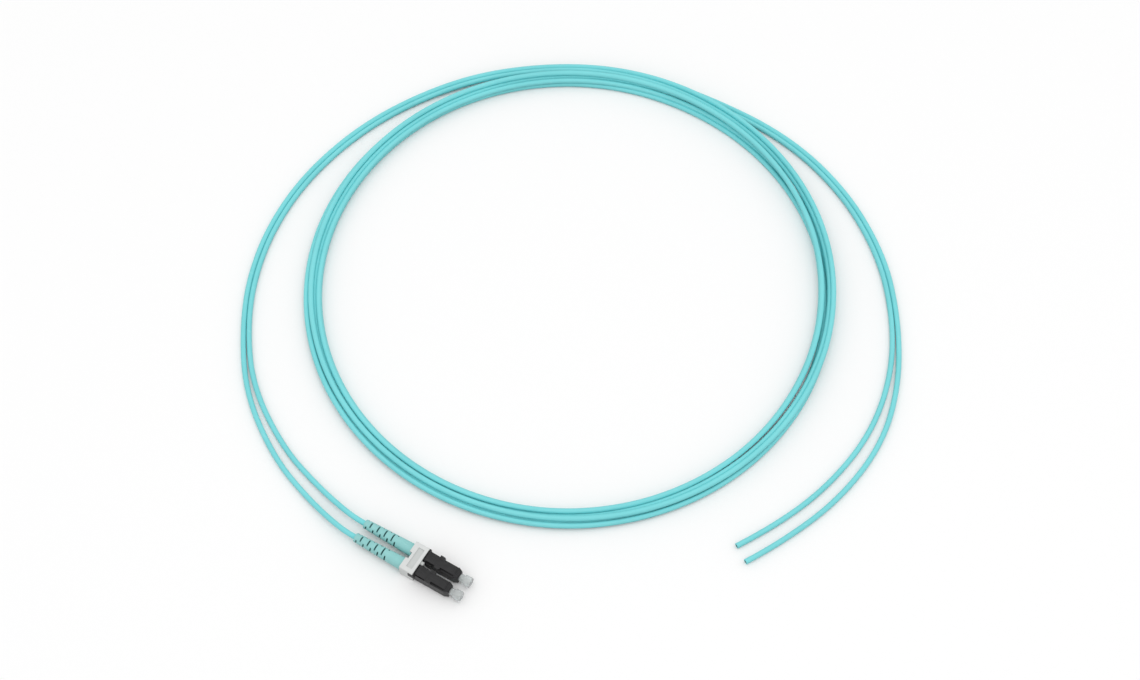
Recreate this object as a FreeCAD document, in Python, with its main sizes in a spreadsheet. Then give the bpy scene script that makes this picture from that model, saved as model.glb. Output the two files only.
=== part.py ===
import FreeCAD, Part
import math
import os

import Sketcher

Vector = FreeCAD.Vector

# A duplex fibre pigtail: two small-form plugs held in one clip, two jackets that run
# side by side through a three-turn coil, and two bare cut ends.
# Millimetres. +X runs out of the plugs' front, +Y is the left plug's side, +Z is up.
# The origin is the middle of the connector's footprint on the surface it lies on.

connector_sizes = {
    # Clip that holds the two plugs at the standard port spacing.
    "port_pitch": 6.25,
    "clip_rear": -2.0,
    "clip_length": 5.6,
    "clip_side_wall": 0.515,
    "clip_cover": 0.69,
    "clip_edge_round": 0.45,
    "clip_clearance": 0.05,
    "clip_groove_setback": 2.0,
    "clip_groove_width": 1.6,
    "clip_groove_margin": 1.7,
    "clip_groove_depth": 0.45,
    "clip_notch_depth": 1.0,
    "clip_notch_span": 2.7,
    "clip_tongue_length": 1.0,
    "clip_tongue_clearance": 0.265,
    "clip_tongue_inset": 1.2,
    "boot_seat": 0.8,
    # Plug housing, with its nose, latch deck and snap lug.
    "housing_length": 19.2,
    "housing_width": 4.42,
    "housing_height": 4.52,
    "nose_taper_length": 1.5,
    "nose_wall": 0.06,
    "nose_bevel": 0.35,
    "nose_bore_depth": 1.1,
    "deck_setback": 0.2,
    "lug_setback": 1.85,
    "lug_length": 1.8,
    "lug_height": 2.0,
    "lug_raise": 1.2,
    "lug_reach": 0.75,
    "stop_wall": 0.6,
    "stop_clearance": 0.3,
    # Latch lever: a flexing arm with two locking ears.
    "latch_root_setback": 1.8,
    "latch_gap": 0.06,
    "latch_tip_gap": 0.59,
    "latch_thickness": 0.5,
    "latch_incline": 4.5,
    "latch_arm_width": 3.0,
    "latch_pad_width": 3.9,
    "latch_tip_bevel": 0.25,
    "ear_front": 5.45,
    "ear_length": 2.2,
    "ear_span": 5.3,
    "ear_bevel": 0.45,
    # Ferrule, its flange and its spring.
    "ferrule_diameter": 1.249,
    "ferrule_length": 6.5,
    "ferrule_protrusion": 3.7,
    "ferrule_bevel": 0.15,
    "flange_wall": 0.6255,
    "flange_length": 3.9,
    "flange_bevel": 0.2,
    "running_clearance": 0.05,
    "bond_clearance": 0.03,
    "spring_length": 5.0,
    "spring_wire": 0.3,
    "spring_inset": 0.025,
    "spring_turns": 5.0,
    # Dust cap over the ferrule.
    "cap_seat": 1.0,
    "cap_wall": 0.7255,
    "cap_neck_length": 1.7,
    "cap_head_step": 0.5,
    "cap_head_length": 2.8,
    "cap_end_wall": 0.5,
    "cap_round": 0.35,
    # Crimp post, yarn and sleeve behind the spring.
    "post_barrel_length": 4.8,
    "post_wall": 0.65,
    "post_flange_length": 4.8,
    "post_flange_step": 0.4,
    "post_fibre_clearance": 0.1,
    "yarn_length": 2.8,
    "yarn_thickness": 0.2,
    "sleeve_grip": 1.8,
    "sleeve_overhang": 0.2,
    "sleeve_wall": 0.18,
    "crimp_clearance": 0.02,
    # Strain relief boot with staggered flex slots.
    "boot_length": 21.3,
    "boot_base_diameter": 4.8,
    "boot_end_wall": 0.63,
    "boot_end_bevel": 0.3,
    "boot_collar_length": 1.6,
    "boot_bore_clearance": 0.12,
    "boot_sleeve_clearance": 0.05,
    "boot_slot_width": 0.45,
    "boot_slot_pitch": 3.1,
    "boot_slot_start": 1.0,
    "boot_slot_wall": 0.2,
    "boot_side_slots": 5,
    "boot_face_slots": 4,
}

cord_sizes = {
    # Jacketed cord and the buffered fibre inside it.
    "jacket_diameter": 2.0,
    "jacket_gap": 0.3,
    "fibre_diameter": 0.9,
    "fibre_reach": 0.4,
    "core_length": 6.0,
    "core_clearance": 0.04,
    # Coil: the radius is that of the innermost strand's centre line.
    "coil_centre_across": -11.2,
    "coil_centre_away": 126.4,
    "coil_radius": 94.0,
    "coil_turns": 3,
    "column_gap": 0.05,
    "layer_gap": 0.55,
    "coil_join_angle": 121.05,
    "coil_run_in": 28.0,
    "exit_run": 12.0,
}

jackets_in_pair = 2
quarters_per_turn = 4
cord_facets = 8
spring_facets = 6
arc_share = 0.45
drop_steepness = 1.5
points_per_quarter = 60
spring_quarters = 4
sides = {"left": 1, "right": -1}

# The route of the lead and the tail, chosen by eye along the photographed cord (X and Y).
# Each jacket has its own points where the two run apart, and one middle line where they touch.
lead_legs = {
    "left": [(-62.0, 12.3), (-86.0, 26.0)],
    "right": [(-62.5, 5.2), (-88.0, 23.0)],
}
lead_pair = [
    (-107.5, 48.0), (-118.5, 68.0), (-126.5, 92.0), (-127.5, 118.0), (-119.5, 150.0), (-107.5, 176.0),
]
tail_pair = [(-3.0, 234.0), (28.0, 231.5), (58.0, 221.5), (84.0, 203.5), (101.5, 179.0)]
tail_legs = {
    "left": [(111.0, 156.5), (115.8, 131.0), (111.5, 103.5), (103.5, 80.5), (95.7, 65.1)],
    "right": [(114.5, 157.0), (120.0, 128.0), (117.5, 100.0), (108.0, 74.5), (101.4, 61.3)],
}

document = FreeCAD.newDocument("duplex_pigtail")
sheet = document.addObject("Spreadsheet::Sheet", "Sizes")
all_sizes = {**connector_sizes, **cord_sizes}
for row, (alias, value) in enumerate(all_sizes.items(), start=1):
    sheet.set(f"A{row}", alias)
    sheet.set(f"B{row}", str(value))
    sheet.setAlias(f"B{row}", alias)
document.recompute()


def size(alias):
    """Value of one driving dimension, for the shapes that are worked out here."""
    return float(getattr(sheet, alias))


def axis_level():
    """Height of the plugs' axes above the surface that the clip lies on."""
    return size("housing_height") / 2 + size("clip_clearance") + size("clip_cover")


def plug_rear():
    """X of the housings' rear ends."""
    return size("clip_rear") + size("boot_seat")


def column_pitch():
    """Spacing of jackets that lie side by side."""
    return size("jacket_diameter") + size("column_gap")


def layer_pitch():
    """Spacing of jackets that lie one over another."""
    return size("jacket_diameter") + size("layer_gap")


# Places along the plug's axis and radii about it, worked out from the driving dimensions.
channel_width = "(Sizes.housing_width + 2 * Sizes.clip_clearance)"
channel_height = "(Sizes.housing_height + 2 * Sizes.clip_clearance)"
clip_width = f"(Sizes.port_pitch + {channel_width} + 2 * Sizes.clip_side_wall)"
clip_height = f"({channel_height} + 2 * Sizes.clip_cover)"
clip_front = "(Sizes.clip_rear + Sizes.clip_length)"
axis_height = f"{clip_height} / 2"
housing_rear = "(Sizes.clip_rear + Sizes.boot_seat)"
housing_front = f"({housing_rear} + Sizes.housing_length)"
nose_floor = f"({housing_front} - Sizes.nose_bore_depth)"
cavity_front = f"({nose_floor} - Sizes.stop_wall)"
ferrule_tip = f"({housing_front} + Sizes.ferrule_protrusion)"
ferrule_rear = f"({ferrule_tip} - Sizes.ferrule_length)"
flange_rear = f"({cavity_front} - Sizes.flange_length)"
spring_rear = f"({flange_rear} - Sizes.spring_length)"
post_step = f"({housing_rear} + Sizes.post_flange_length)"
post_rear = f"({housing_rear} - Sizes.post_barrel_length)"
cap_rear = f"({housing_front} - Sizes.cap_seat)"
cap_shoulder = f"({housing_front} + Sizes.cap_neck_length)"
cap_end = f"({cap_shoulder} + Sizes.cap_head_length)"
boot_rear = f"({housing_rear} - Sizes.boot_length)"
fibre_front = f"({flange_rear} + Sizes.fibre_reach)"
yarn_front = f"({post_rear} + Sizes.yarn_length)"
jacket_front = f"({post_rear} - Sizes.jacket_gap)"
sleeve_front = f"({yarn_front} + Sizes.sleeve_overhang)"
sleeve_rear = f"({jacket_front} - Sizes.sleeve_grip)"
lug_rear = f"({clip_front} - Sizes.lug_setback)"
latch_root = f"({housing_front} - Sizes.latch_root_setback)"
latch_length = f"({latch_root} - Sizes.latch_gap - {clip_front} - Sizes.latch_tip_gap)"
deck_level = "(Sizes.housing_height / 2 - Sizes.latch_thickness - Sizes.latch_gap)"
ferrule_radius = "(Sizes.ferrule_diameter / 2)"
flange_radius = f"({ferrule_radius} + Sizes.flange_wall)"
cavity_radius = f"({flange_radius} + Sizes.running_clearance)"
fibre_bore = "(Sizes.fibre_diameter / 2 + Sizes.post_fibre_clearance)"
barrel_radius = f"({fibre_bore} + Sizes.post_wall)"
post_radius = f"({cavity_radius} + Sizes.post_flange_step)"
yarn_radius = f"({barrel_radius} + Sizes.crimp_clearance + Sizes.yarn_thickness)"
sleeve_bore = f"({yarn_radius} + Sizes.crimp_clearance)"
sleeve_radius = f"({sleeve_bore} + Sizes.sleeve_wall)"
cap_bore = f"({ferrule_radius} + Sizes.running_clearance)"
neck_radius = f"({cap_bore} + Sizes.cap_wall)"
nose_radius = f"({neck_radius} + Sizes.running_clearance)"
boot_bore = "(Sizes.jacket_diameter / 2 + Sizes.boot_bore_clearance)"


def own_plane(body, role):
    """One of the body's own origin planes."""
    for feature in body.Origin.OriginFeatures:
        if feature.Role == role:
            return feature


def new_body(label):
    """A body whose X axis is a plug's axis; the label is the piece's name."""
    body = document.addObject("PartDesign::Body", label)
    body.Label = label
    return body


def put_on_axis(piece, sign, along="0", raised="0"):
    """Places a piece on the left or right plug's axis."""
    piece.setExpression(".Placement.Base.x", along)
    piece.setExpression(".Placement.Base.y", f"{sign} * Sizes.port_pitch / 2")
    piece.setExpression(".Placement.Base.z", f"{axis_height} + {raised}")


def outline(body, name, role, loops):
    """Straight-sided loops on one of the body's planes, each corner held by two formulas."""
    sketch = body.newObject("Sketcher::SketchObject", name)
    sketch.AttachmentSupport = [(own_plane(body, role), "")]
    sketch.MapMode = "FlatFace"
    for corners in loops:
        first = sketch.GeometryCount
        count = len(corners)
        angles = [2 * math.pi * corner / count for corner in range(count)]
        rough = [Vector(math.cos(angle), math.sin(angle), 0) for angle in angles]
        lines = [Part.LineSegment(here, there) for here, there in zip(rough, rough[1:] + rough[:1])]
        sketch.addGeometry(lines, False)
        for corner in range(count):
            following = first + (corner + 1) % count
            sketch.addConstraint(Sketcher.Constraint("Coincident", first + corner, 2, following, 1))
        for corner, (across, up) in enumerate(corners):
            guess = rough[corner]
            for kind, formula, start in (("DistanceX", across, guess.x), ("DistanceY", up, guess.y)):
                number = sketch.addConstraint(Sketcher.Constraint(kind, -1, 1, first + corner, 1, start))
                sketch.setExpression(f"Constraints[{number}]", formula)
    return sketch


def rectangle(rear, front, bottom, top):
    """Corners of a box outline."""
    return [(rear, bottom), (front, bottom), (front, top), (rear, top)]


def turned(label, sign, corners):
    """A piece turned about the plug's axis from a half outline of (along, radius)."""
    body = new_body(label)
    sketch = outline(body, f"{label}_outline", "XZ_Plane", [corners])
    feature = body.newObject("PartDesign::Revolution", f"{label}_turned")
    feature.Profile = sketch
    feature.ReferenceAxis = (sketch, ["H_Axis"])
    feature.Angle = 360
    put_on_axis(body, sign)
    return body


def pad(body, name, sketch, length):
    """Material on both sides of a sketch's plane."""
    feature = body.newObject("PartDesign::Pad", name)
    feature.Profile = sketch
    feature.setExpression("Length", length)
    feature.Midplane = True
    return feature


def cut_through(body, name, sketch):
    """A cut on both sides of a sketch's plane, right through the body."""
    feature = body.newObject("PartDesign::Pocket", name)
    feature.Profile = sketch
    feature.Type = "ThroughAll"
    feature.Midplane = True
    return feature


def row_of_cuts(body, name, cut, sketch, pitch, count):
    """Repeats a cut along X."""
    pattern = body.newObject("PartDesign::LinearPattern", name)
    pattern.Originals = [cut]
    pattern.Direction = (sketch, ["H_Axis"])
    pattern.Mode = "Spacing"
    pattern.setExpression("Offset", pitch)
    pattern.setExpression("Occurrences", count)
    body.Tip = pattern
    return pattern


def plug_housing(side, sign):
    """Moulded housing: tapered nose, open latch deck, snap lug and a stepped bore."""
    label = f"plug_housing_{side}"
    body = new_body(label)
    half_width = "Sizes.housing_width / 2"
    half_height = "Sizes.housing_height / 2"
    taper_start = f"{housing_front} - Sizes.nose_taper_length"
    nose_half = f"{nose_radius} + Sizes.nose_wall"
    plan = outline(body, f"{label}_plan", "XY_Plane", [[
        (housing_rear, f"-{half_width}"),
        (taper_start, f"-{half_width}"),
        (housing_front, f"-({nose_half})"),
        (housing_front, nose_half),
        (taper_start, half_width),
        (housing_rear, half_width),
    ]])
    pad(body, f"{label}_block", plan, "Sizes.housing_height")
    lug_face = f"{sign} * ({half_width} + Sizes.lug_reach)"
    lug_front = f"{lug_rear} + Sizes.lug_length"
    lug_plan = outline(body, f"{label}_lug_plan", "XY_Plane", [
        rectangle(lug_rear, lug_front, "0", lug_face),
    ])
    lug_plan.setExpression(".AttachmentOffset.Base.z", "Sizes.lug_raise")
    pad(body, f"{label}_lug", lug_plan, "Sizes.lug_height")
    bevel_start = f"{housing_front} - Sizes.nose_bevel"
    bevel_level = f"({half_height} - Sizes.nose_bevel)"
    deck_rear = f"{clip_front} + Sizes.deck_setback"
    edge_bevels = [
        [
            (bevel_start, f"{hand} * {half_height}"),
            (housing_front, f"{hand} * {bevel_level}"),
            (housing_front, f"{hand} * {half_height}"),
        ]
        for hand in (1, -1)
    ]
    profile = outline(body, f"{label}_profile", "XZ_Plane", [
        rectangle(deck_rear, latch_root, deck_level, "Sizes.housing_height"),
        *edge_bevels,
    ])
    cut_through(body, f"{label}_deck", profile)
    window_radius = f"{ferrule_radius} + Sizes.stop_clearance"
    rear_radius = f"{post_radius} + Sizes.crimp_clearance"
    bore = outline(body, f"{label}_bore_outline", "XZ_Plane", [[
        (housing_rear, "0"),
        (housing_front, "0"),
        (housing_front, nose_radius),
        (nose_floor, nose_radius),
        (nose_floor, window_radius),
        (cavity_front, window_radius),
        (cavity_front, cavity_radius),
        (post_step, cavity_radius),
        (post_step, rear_radius),
        (housing_rear, rear_radius),
    ]])
    groove = body.newObject("PartDesign::Groove", f"{label}_bore")
    groove.Profile = bore
    groove.ReferenceAxis = (bore, ["H_Axis"])
    groove.Angle = 360
    put_on_axis(body, sign)
    return body


def latch_lever(side, sign):
    """Inclined latch arm: slim at the root, two locking ears, a wider pad at the free end."""
    label = f"latch_lever_{side}"
    body = new_body(label)
    rise = f"{latch_length} * tan(Sizes.latch_incline)"
    tip = f"-{latch_length}"
    profile = outline(body, f"{label}_profile", "XZ_Plane", [[
        ("0", "0"),
        ("0", "Sizes.latch_thickness"),
        (f"{tip} + Sizes.latch_tip_bevel", f"Sizes.latch_thickness + {rise}"),
        (tip, f"Sizes.latch_thickness + {rise} - Sizes.latch_tip_bevel"),
        (tip, rise),
    ]])
    pad(body, f"{label}_blank", profile, "Sizes.ear_span")
    beyond = "Sizes.ear_span"
    ear_front = "-Sizes.ear_front"
    ear_rear = "-(Sizes.ear_front + Sizes.ear_length)"
    reliefs = []
    for hand in (1, -1):
        arm_edge = f"{hand} * Sizes.latch_arm_width / 2"
        pad_edge = f"{hand} * Sizes.latch_pad_width / 2"
        ear_corner = f"{hand} * (Sizes.ear_span / 2 - Sizes.ear_bevel)"
        ear_edge = f"{hand} * Sizes.ear_span / 2"
        outside = f"{hand} * {beyond}"
        reliefs.append([
            ("Sizes.latch_gap", arm_edge),
            (ear_front, arm_edge),
            (ear_front, ear_corner),
            (f"{ear_front} - Sizes.ear_bevel", ear_edge),
            (f"{ear_front} - Sizes.ear_bevel", outside),
            ("Sizes.latch_gap", outside),
        ])
        reliefs.append([
            (ear_rear, outside),
            (ear_rear, pad_edge),
            (f"{tip} - Sizes.latch_gap", pad_edge),
            (f"{tip} - Sizes.latch_gap", outside),
        ])
    plan = outline(body, f"{label}_plan", "XY_Plane", reliefs)
    cut_through(body, f"{label}_reliefs", plan)
    put_on_axis(body, sign, f"{latch_root} - Sizes.latch_gap", f"{deck_level} + Sizes.latch_gap")
    return body


def dust_cap(side, sign):
    """Translucent cap: a neck in the nose bore, a round head and a blind bore."""
    head = f"{neck_radius} + Sizes.cap_head_step"
    bore_end = f"{cap_end} - Sizes.cap_end_wall"
    return turned(f"dust_cap_{side}", sign, [
        (cap_rear, cap_bore),
        (cap_rear, neck_radius),
        (cap_shoulder, neck_radius),
        (cap_shoulder, head),
        (f"{cap_end} - Sizes.cap_round", head),
        (cap_end, f"{head} - Sizes.cap_round"),
        (cap_end, "0"),
        (bore_end, "0"),
        (bore_end, cap_bore),
    ])


def ferrule(side, sign):
    """Ceramic ferrule with a bevelled tip."""
    return turned(f"ferrule_{side}", sign, [
        (ferrule_rear, "0"),
        (ferrule_tip, "0"),
        (ferrule_tip, f"{ferrule_radius} - Sizes.ferrule_bevel"),
        (f"{ferrule_tip} - Sizes.ferrule_bevel", ferrule_radius),
        (ferrule_rear, ferrule_radius),
    ])


def ferrule_flange(side, sign):
    """Metal flange bonded on the ferrule's rear, bored for the fibre."""
    socket = f"{ferrule_radius} + Sizes.bond_clearance"
    return turned(f"ferrule_flange_{side}", sign, [
        (flange_rear, fibre_bore),
        (flange_rear, f"{flange_radius} - Sizes.flange_bevel"),
        (f"{flange_rear} + Sizes.flange_bevel", flange_radius),
        (f"{cavity_front} - Sizes.flange_bevel", flange_radius),
        (cavity_front, f"{flange_radius} - Sizes.flange_bevel"),
        (cavity_front, socket),
        (ferrule_rear, socket),
        (ferrule_rear, fibre_bore),
    ])


def crimp_post(side, sign):
    """Post behind the spring: flange in the housing, barrel for the yarn behind it."""
    nose = f"{cavity_radius} - Sizes.crimp_clearance"
    return turned(f"crimp_post_{side}", sign, [
        (post_rear, fibre_bore),
        (post_rear, barrel_radius),
        (housing_rear, barrel_radius),
        (housing_rear, post_radius),
        (post_step, post_radius),
        (post_step, nose),
        (spring_rear, nose),
        (spring_rear, fibre_bore),
    ])


def aramid_band(side, sign):
    """Strength yarn folded back over the post's barrel."""
    inner = f"{barrel_radius} + Sizes.crimp_clearance"
    return turned(f"aramid_band_{side}", sign, [
        (post_rear, inner),
        (post_rear, yarn_radius),
        (yarn_front, yarn_radius),
        (yarn_front, inner),
    ])


def crimp_sleeve(side, sign):
    """Stepped sleeve: narrow over the jacket, wide over the yarn."""
    jacket_bore = "(Sizes.jacket_diameter / 2 + Sizes.crimp_clearance)"
    jacket_skin = f"{jacket_bore} + Sizes.sleeve_wall"
    flare_rear = f"{jacket_front} - ({sleeve_bore} - {jacket_bore})"
    return turned(f"crimp_sleeve_{side}", sign, [
        (sleeve_rear, jacket_bore),
        (sleeve_rear, jacket_skin),
        (flare_rear, jacket_skin),
        (jacket_front, sleeve_radius),
        (sleeve_front, sleeve_radius),
        (sleeve_front, sleeve_bore),
        (jacket_front, sleeve_bore),
        (flare_rear, jacket_bore),
    ])


def boot(side, sign):
    """Tapered strain relief: staggered slots across the faces and the sides of its slim half."""
    label = f"boot_{side}"
    room = f"({sleeve_radius} + Sizes.boot_sleeve_clearance)"
    base = "Sizes.boot_base_diameter / 2"
    end = f"({boot_bore} + Sizes.boot_end_wall)"
    collar = f"{housing_rear} - Sizes.boot_collar_length"
    room_end = f"{sleeve_rear} - Sizes.boot_sleeve_clearance"
    body = turned(label, sign, [
        (boot_rear, boot_bore),
        (boot_rear, f"{end} - Sizes.boot_end_bevel"),
        (f"{boot_rear} + Sizes.boot_end_bevel", end),
        (collar, base),
        (housing_rear, base),
        (housing_rear, room),
        (room_end, room),
        (room_end, boot_bore),
    ])
    side_slot = f"{boot_rear} + Sizes.boot_slot_start"
    face_slot = f"{side_slot} + Sizes.boot_slot_pitch / 2"
    floor = f"({boot_bore} + Sizes.boot_slot_wall)"
    beyond = "Sizes.boot_base_diameter"
    for name, role, start, count in (
        ("side_slots", "XY_Plane", side_slot, "Sizes.boot_side_slots"),
        ("face_slots", "XZ_Plane", face_slot, "Sizes.boot_face_slots"),
    ):
        slot_end = f"{start} + Sizes.boot_slot_width"
        pair = outline(body, f"{label}_{name}_outline", role, [
            rectangle(start, slot_end, floor, beyond),
            rectangle(start, slot_end, f"-{floor}", f"-{beyond}"),
        ])
        cut = cut_through(body, f"{label}_{name}_first", pair)
        row_of_cuts(body, f"{label}_{name}", cut, pair, "Sizes.boot_slot_pitch", count)
    return body


def buffered_fibre(side, sign):
    """Buffered fibre from the jacket's front end into the flange."""
    rod = document.addObject("Part::Cylinder", f"buffered_fibre_{side}")
    rod.Label = f"buffered_fibre_{side}"
    rod.setExpression("Radius", "Sizes.fibre_diameter / 2")
    rod.setExpression("Height", f"{fibre_front} - {jacket_front}")
    rod.Placement.Rotation = FreeCAD.Rotation(Vector(0, 0, 1), Vector(1, 0, 0))
    put_on_axis(rod, sign, jacket_front)
    return rod


def brick(name, rear, right, bottom, length, width, height):
    """Box with every size and its corner's place bound to formulas."""
    block = document.addObject("Part::Box", name)
    for field, formula in (("Length", length), ("Width", width), ("Height", height)):
        block.setExpression(field, formula)
    for field, formula in (("x", rear), ("y", right), ("z", bottom)):
        block.setExpression(f".Placement.Base.{field}", formula)
    return block


def long_edges(block):
    """Numbers of a box's four edges along X."""
    return [
        number for number, edge in enumerate(block.Shape.Edges, start=1)
        if edge.BoundBox.XLength == max(edge.BoundBox.XLength, edge.BoundBox.YLength, edge.BoundBox.ZLength)
    ]


def duplex_clip():
    """Clip: two square channels, two round boot sockets, a groove, a notch, side windows and a tongue."""
    half_width = f"{clip_width} / 2"
    blank = brick(
        "clip_blank", "Sizes.clip_rear", f"-{half_width}", "0",
        "Sizes.clip_length", clip_width, clip_height)
    document.recompute()
    rounded = document.addObject("Part::Fillet", "clip_rounded")
    rounded.Base = blank
    radius = size("clip_edge_round")
    rounded.Edges = [(number, radius, radius) for number in long_edges(blank)]
    tongue_width = "(Sizes.port_pitch - Sizes.housing_width - 2 * Sizes.clip_tongue_clearance)"
    tongue = brick(
        "clip_tongue", "Sizes.clip_rear + Sizes.clip_notch_depth", f"-{tongue_width} / 2",
        "Sizes.clip_tongue_inset",
        "Sizes.clip_length - Sizes.clip_notch_depth + Sizes.clip_tongue_length", tongue_width,
        f"{clip_height} - 2 * Sizes.clip_tongue_inset")
    groove_span = f"({clip_width} - 2 * Sizes.clip_groove_margin)"
    cutters = [
        brick(
            "clip_groove", "Sizes.clip_rear + Sizes.clip_groove_setback", f"-{groove_span} / 2",
            f"{clip_height} - Sizes.clip_groove_depth",
            "Sizes.clip_groove_width", groove_span, "Sizes.clip_groove_depth"),
        brick(
            "clip_notch", "Sizes.clip_rear", "-Sizes.clip_notch_span / 2", "0",
            "Sizes.clip_notch_depth", "Sizes.clip_notch_span", clip_height),
    ]
    socket_radius = "Sizes.boot_base_diameter / 2 + Sizes.clip_clearance"
    window_height = "(Sizes.lug_height + 2 * Sizes.clip_clearance)"
    window_rear = f"({lug_rear} - Sizes.clip_clearance)"
    window_bottom = f"{axis_height} + Sizes.lug_raise - {window_height} / 2"
    for side, sign in sides.items():
        axis = f"{sign} * Sizes.port_pitch / 2"
        cutters.append(brick(
            f"clip_channel_{side}", housing_rear, f"{axis} - {channel_width} / 2",
            f"{axis_height} - {channel_height} / 2",
            f"{clip_front} - {housing_rear}", channel_width, channel_height))
        socket = document.addObject("Part::Cylinder", f"clip_socket_{side}")
        socket.setExpression("Radius", socket_radius)
        socket.setExpression("Height", "Sizes.boot_seat")
        socket.Placement.Rotation = FreeCAD.Rotation(Vector(0, 0, 1), Vector(1, 0, 0))
        put_on_axis(socket, sign, "Sizes.clip_rear")
        cutters.append(socket)
        wall_inside = f"{axis} + {sign} * {channel_width} / 2"
        window_right = wall_inside if sign > 0 else f"-{half_width}"
        cutters.append(brick(
            f"clip_window_{side}", window_rear, window_right, window_bottom,
            f"{clip_front} - {window_rear}", f"{half_width} - ({sign} * ({wall_inside}))", window_height))
    block = document.addObject("Part::Fuse", "clip_with_tongue")
    block.Base = rounded
    block.Tool = tongue
    tools = document.addObject("Part::MultiFuse", "clip_cutters")
    tools.Shapes = cutters
    clip = document.addObject("Part::Cut", "duplex_clip")
    clip.Label = "duplex_clip"
    clip.Base = block
    clip.Tool = tools
    return clip


def corner_radius(diameter, facets):
    """Corner radius of the even-sided polygon that has a round section's area."""
    return diameter / 2 * math.sqrt(2 * math.pi / (facets * math.sin(2 * math.pi / facets)))


def swept_tube(edges, diameter, facets):
    """Faceted tube along a chain of edges, a flat side down, with the round one's section area."""
    first = edges[0]
    start = first.valueAt(first.FirstParameter)
    heading = first.tangentAt(first.FirstParameter)
    sideways = heading.cross(Vector(0, 0, 1)).normalize()
    upward = sideways.cross(heading)
    radius = corner_radius(diameter, facets)
    corners = []
    for corner in range(facets):
        angle = 2 * math.pi * (corner + 0.5) / facets + math.pi / 2
        corners.append(start + sideways * (radius * math.cos(angle)) + upward * (radius * math.sin(angle)))
    ring = Part.makePolygon(corners + corners[:1])
    return Part.Wire(edges).makePipeShell([ring], True, False)


def round_rod(edge, diameter):
    """Round rod along a straight edge."""
    start = edge.valueAt(edge.FirstParameter)
    heading = edge.tangentAt(edge.FirstParameter)
    return Part.makeCylinder(diameter / 2, edge.Length, start, heading)


def free_jacket(edges, diameter):
    """Faceted tube whose two straight end runs are round."""
    ends = [round_rod(edge, diameter) for edge in (edges[0], edges[-1])]
    return swept_tube(edges[1:-1], diameter, cord_facets).fuse(ends).Solids[0]


def add_shape(label, shape):
    """Keeps a worked-out shape as a piece of the document."""
    piece = document.addObject("Part::Feature", label)
    piece.Label = label
    piece.Shape = shape
    piece.Placement = FreeCAD.Placement()
    return piece


def bent_path(points):
    """Straight runs joined by tangent arcs, each arc as large as its two runs allow."""
    edges = []
    radii = []
    start = points[0]
    for before, corner, after in zip(points, points[1:], points[2:]):
        arriving = corner - before
        leaving = after - corner
        reach = arc_share * min(arriving.Length, leaving.Length)
        half_turn = arriving.getAngle(leaving) / 2
        radius = reach / math.tan(half_turn)
        arriving.normalize()
        leaving.normalize()
        enter = corner - arriving * reach
        leave = corner + leaving * reach
        inward = (leaving - arriving).normalize()
        middle = corner + inward * (radius / math.cos(half_turn) - radius)
        edges.append(Part.LineSegment(start, enter).toShape())
        edges.append(Part.Arc(enter, middle, leave).toShape())
        radii.append(round(radius, 1))
        start = leave
    edges.append(Part.LineSegment(start, points[-1]).toShape())
    return edges, radii


def arc_through(start, heading, end):
    """Arc from a start point and heading to an end point."""
    chord = end - start
    along = Vector(chord).normalize()
    half_angle = heading.getAngle(along) / 2
    rise = chord.Length / 2 * math.tan(half_angle)
    outward = (heading - along * heading.dot(along)).normalize()
    return Part.Arc(start, start + chord / 2 + outward * rise, end).toShape()


def biarc(first, second):
    """Two arcs that join one place and heading to the next without a kink."""
    start, heading = first
    end, arriving = second
    chord = end - start
    both = heading + arriving
    spread = 2 * (1 - heading.dot(arriving))
    lean = chord.dot(both)
    reach = (math.sqrt(lean * lean + spread * chord.dot(chord)) - lean) / spread
    meeting = (start + heading * reach + end - arriving * reach) / 2
    back = arc_through(end, arriving * -1, meeting)
    back.reverse()
    return [arc_through(start, heading, meeting), back]


def coil_station(quarter, strand):
    """Place and heading of one strand after so many quarter turns.

    The pair spirals in by two columns a turn on the upper layer, drops a layer in the half
    turn where the spiral reverses, and spirals out again on the lower layer.
    """
    turns = quarter / quarters_per_turn
    half_way = size("coil_turns") / 2
    column = jackets_in_pair * abs(half_way - turns) + strand
    radius = size("coil_radius") + column_pitch() * column
    angle = math.radians(size("coil_join_angle")) - 2 * math.pi * turns
    floor_level = size("jacket_diameter") / 2
    level = floor_level
    fall = 0
    if turns < half_way:
        level += layer_pitch()
    if turns == half_way:
        level += layer_pitch() / 2
        fall = drop_steepness * layer_pitch() / (math.pi * radius)
    centre = Vector(size("coil_centre_across"), size("coil_centre_away"), level)
    place = centre + Vector(math.cos(angle), math.sin(angle), 0) * radius
    heading = Vector(math.sin(angle), -math.cos(angle), -fall).normalize()
    return place, heading


def quarter_count():
    """Quarter turns in the whole coil."""
    return round(size("coil_turns") * quarters_per_turn)


def least_self_gap(quarters, width):
    """Least gap between one turn and any later one, on points at like angles."""
    points = [Part.Wire(quarter).discretize(Number=points_per_quarter) for quarter in quarters]
    spacings = []
    for first in range(len(points)):
        for later in range(first + quarters_per_turn, len(points), quarters_per_turn):
            spacings += [here.distanceToPoint(there) for here, there in zip(points[first], points[later])]
    return min(spacings) - width


def coil_ends(strand):
    """Outer ends of a strand's coil, each one diameter beyond its first or last turn."""
    entry, entry_heading = coil_station(0, strand)
    leaving, leaving_heading = coil_station(quarter_count(), strand)
    diameter = size("jacket_diameter")
    return entry - entry_heading * diameter, leaving + leaving_heading * diameter


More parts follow.
